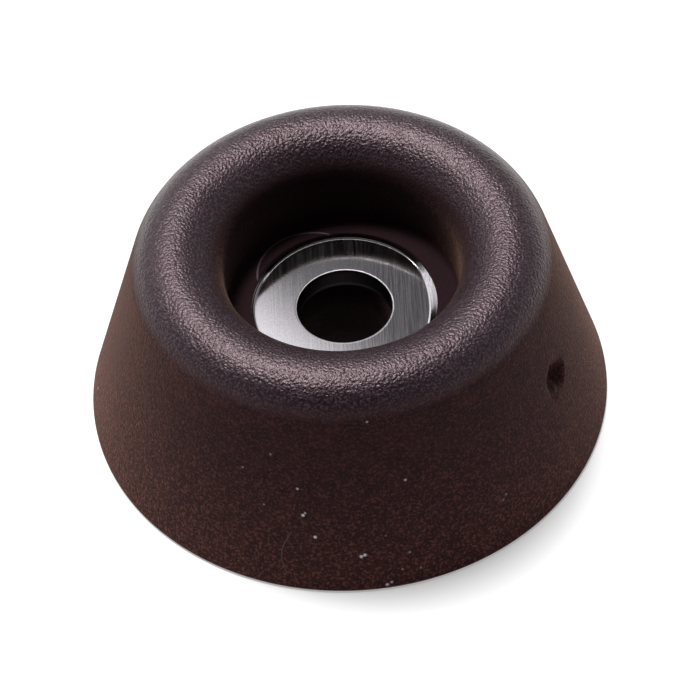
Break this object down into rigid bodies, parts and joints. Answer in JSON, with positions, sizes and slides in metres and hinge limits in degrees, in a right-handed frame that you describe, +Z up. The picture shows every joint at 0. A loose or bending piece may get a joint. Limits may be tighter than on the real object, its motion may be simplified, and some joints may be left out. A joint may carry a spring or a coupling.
{
  "type": "rubber foot",
  "caption": "Round rubber bumper foot with a leaning side wall, a rounded crown and a deep recess down to a moulded-in steel washer for a screw.",
  "frame": {"origin": "centre of the flat base, on the axis of the screw bore", "axes": "+Z up along the bore axis, from the wide base to the crown; the pit in the side wall lies between +X and -Y"},
  "size_m": [0.0382, 0.0382, 0.0159],
  "materials": {
    "rubber": "fine moulded grain, matt to satin, very dark brown-black",
    "washer_steel": "satin steel with fine straight streaks"
  },
  "bodies": {
    "root": {"rubber_body": "rubber", "steel_washer": "washer_steel"}
  },
  "joints": []
}
